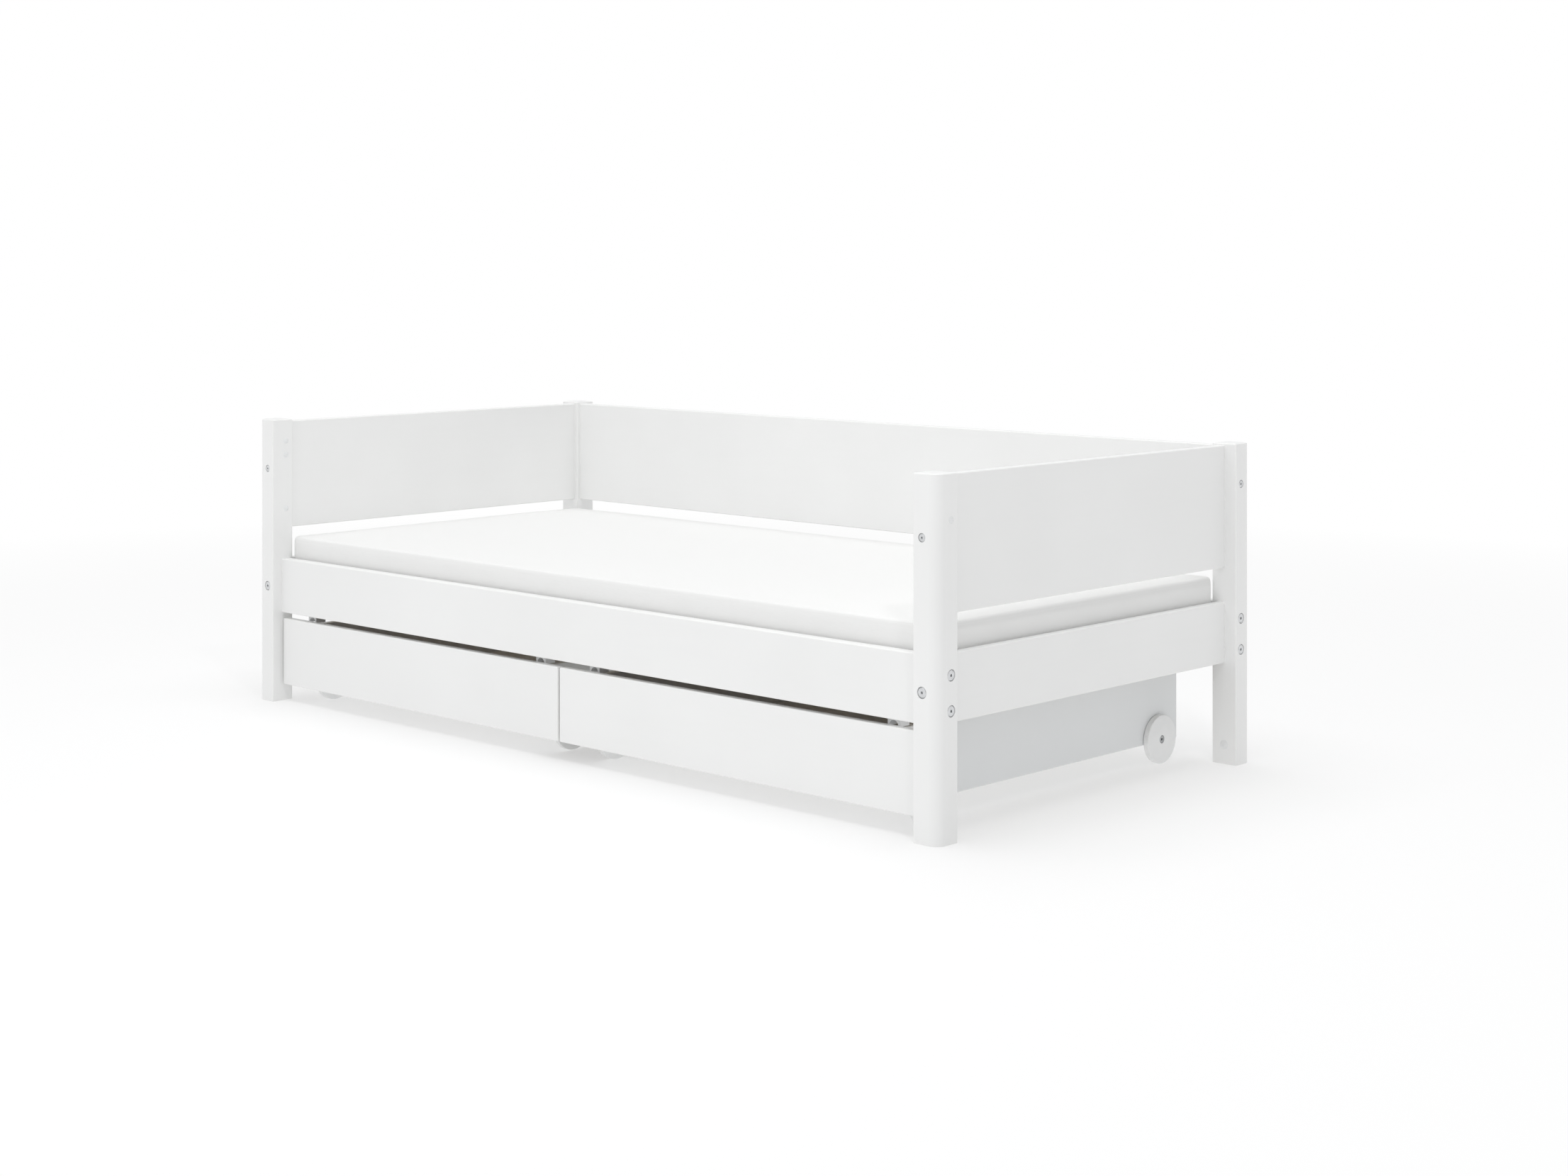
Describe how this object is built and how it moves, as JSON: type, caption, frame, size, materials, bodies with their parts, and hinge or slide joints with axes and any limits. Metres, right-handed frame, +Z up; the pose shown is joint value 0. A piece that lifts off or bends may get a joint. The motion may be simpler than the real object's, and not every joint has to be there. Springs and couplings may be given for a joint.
{
  "type": "day bed with under-bed drawers",
  "caption": "White wooden day bed with a back panel, end panels, square rounded posts, a mattress on slats and wheeled drawers under it.",
  "frame": {"origin": "on the floor under the middle of the bed", "axes": "+X along the bed's length, -Y towards the drawer side, +Y towards the back panel, +Z up"},
  "size_m": [2.0984, 1.008, 0.662],
  "materials": {
    "white_lacquer": "white satin lacquer over wood, softly rounded edges",
    "white_board": "thin white board, matt",
    "pine": "unfinished planed softwood",
    "steel": "zinc-plated, satin",
    "white_plastic": "white moulded plastic, satin",
    "webbing": "woven cotton tape",
    "mattress_cover": "plain white woven cover, soft"
  },
  "bodies": {
    "frame": {"post_front_left": "white_lacquer", "post_front_right": "white_lacquer", "post_back_left": "white_lacquer", "post_back_right": "white_lacquer", "front_rail": "white_lacquer", "back_rail": "white_lacquer", "left_end_rail": "white_lacquer", "right_end_rail": "white_lacquer", "back_panel": "white_lacquer", "left_end_panel": "white_lacquer", "right_end_panel": "white_lacquer", "front_slat_ledge": "white_lacquer", "back_slat_ledge": "white_lacquer", "ledge_screws": "steel", "bed_slats": "pine", "slat_tapes": "webbing", "slat_screws": "steel", "rail_bolts": "steel", "rail_barrel_nuts": "steel", "end_rail_bolts": "steel", "end_rail_barrel_nuts": "steel", "panel_bolts": "steel", "panel_inserts": "steel", "wood_dowels": "pine", "cap_plugs": "white_plastic", "foot_plugs": "white_plastic", "drawer_guide_blocks": "white_plastic", "guide_screws": "steel"},
    "mattress": {"mattress": "mattress_cover"},
    "left_drawer": {"left_drawer_front": "white_lacquer", "left_drawer_left_side": "white_lacquer", "left_drawer_right_side": "white_lacquer", "left_drawer_back": "white_lacquer", "left_drawer_bottom": "white_board", "left_drawer_dowels": "pine", "left_drawer_cams": "steel", "left_drawer_axles": "steel", "left_drawer_washers": "steel"},
    "left_drawer_wheel_front_left": {"left_drawer_wheel_front_left": "white_plastic"},
    "left_drawer_wheel_front_right": {"left_drawer_wheel_front_right": "white_plastic"},
    "left_drawer_wheel_back_left": {"left_drawer_wheel_back_left": "white_plastic"},
    "left_drawer_wheel_back_right": {"left_drawer_wheel_back_right": "white_plastic"},
    "right_drawer": {"right_drawer_front": "white_lacquer", "right_drawer_left_side": "white_lacquer", "right_drawer_right_side": "white_lacquer", "right_drawer_back": "white_lacquer", "right_drawer_bottom": "white_board", "right_drawer_dowels": "pine", "right_drawer_cams": "steel", "right_drawer_axles": "steel", "right_drawer_washers": "steel"},
    "right_drawer_wheel_front_left": {"right_drawer_wheel_front_left": "white_plastic"},
    "right_drawer_wheel_front_right": {"right_drawer_wheel_front_right": "white_plastic"},
    "right_drawer_wheel_back_left": {"right_drawer_wheel_back_left": "white_plastic"},
    "right_drawer_wheel_back_right": {"right_drawer_wheel_back_right": "white_plastic"}
  },
  "joints": [
    {"name": "mattress_lift", "type": "slide", "parent": "frame", "child": "mattress", "axis": [0, 0, 1], "range_m": [0, 0.45]},
    {"name": "left_drawer_slide", "type": "slide", "parent": "frame", "child": "left_drawer", "axis": [0, -1, 0], "range_m": [0, 0.95]},
    {"name": "left_drawer_wheel_front_left_spin", "type": "hinge", "parent": "left_drawer", "child": "left_drawer_wheel_front_left", "pos_m": [-0.9165, -0.381, 0.05], "axis": [1, 0, 0], "continuous": true},
    {"name": "left_drawer_wheel_front_right_spin", "type": "hinge", "parent": "left_drawer", "child": "left_drawer_wheel_front_right", "pos_m": [-0.0685, -0.381, 0.05], "axis": [1, 0, 0], "continuous": true},
    {"name": "left_drawer_wheel_back_left_spin", "type": "hinge", "parent": "left_drawer", "child": "left_drawer_wheel_back_left", "pos_m": [-0.9165, 0.364, 0.05], "axis": [1, 0, 0], "continuous": true},
    {"name": "left_drawer_wheel_back_right_spin", "type": "hinge", "parent": "left_drawer", "child": "left_drawer_wheel_back_right", "pos_m": [-0.0685, 0.364, 0.05], "axis": [1, 0, 0], "continuous": true},
    {"name": "right_drawer_slide", "type": "slide", "parent": "frame", "child": "right_drawer", "axis": [0, -1, 0], "range_m": [0, 0.95]},
    {"name": "right_drawer_wheel_front_left_spin", "type": "hinge", "parent": "right_drawer", "child": "right_drawer_wheel_front_left", "pos_m": [0.0685, -0.381, 0.05], "axis": [1, 0, 0], "continuous": true},
    {"name": "right_drawer_wheel_front_right_spin", "type": "hinge", "parent": "right_drawer", "child": "right_drawer_wheel_front_right", "pos_m": [0.9165, -0.381, 0.05], "axis": [1, 0, 0], "continuous": true},
    {"name": "right_drawer_wheel_back_left_spin", "type": "hinge", "parent": "right_drawer", "child": "right_drawer_wheel_back_left", "pos_m": [0.0685, 0.364, 0.05], "axis": [1, 0, 0], "continuous": true},
    {"name": "right_drawer_wheel_back_right_spin", "type": "hinge", "parent": "right_drawer", "child": "right_drawer_wheel_back_right", "pos_m": [0.9165, 0.364, 0.05], "axis": [1, 0, 0], "continuous": true}
  ],
  "couplings": [
    {"joint": "left_drawer_wheel_front_left_spin", "follows": "left_drawer_slide", "rad_per_m": 20},
    {"joint": "left_drawer_wheel_front_right_spin", "follows": "left_drawer_slide", "rad_per_m": 20},
    {"joint": "left_drawer_wheel_back_left_spin", "follows": "left_drawer_slide", "rad_per_m": 20},
    {"joint": "left_drawer_wheel_back_right_spin", "follows": "left_drawer_slide", "rad_per_m": 20},
    {"joint": "right_drawer_wheel_front_left_spin", "follows": "right_drawer_slide", "rad_per_m": 20},
    {"joint": "right_drawer_wheel_front_right_spin", "follows": "right_drawer_slide", "rad_per_m": 20},
    {"joint": "right_drawer_wheel_back_left_spin", "follows": "right_drawer_slide", "rad_per_m": 20},
    {"joint": "right_drawer_wheel_back_right_spin", "follows": "right_drawer_slide", "rad_per_m": 20}
  ]
}
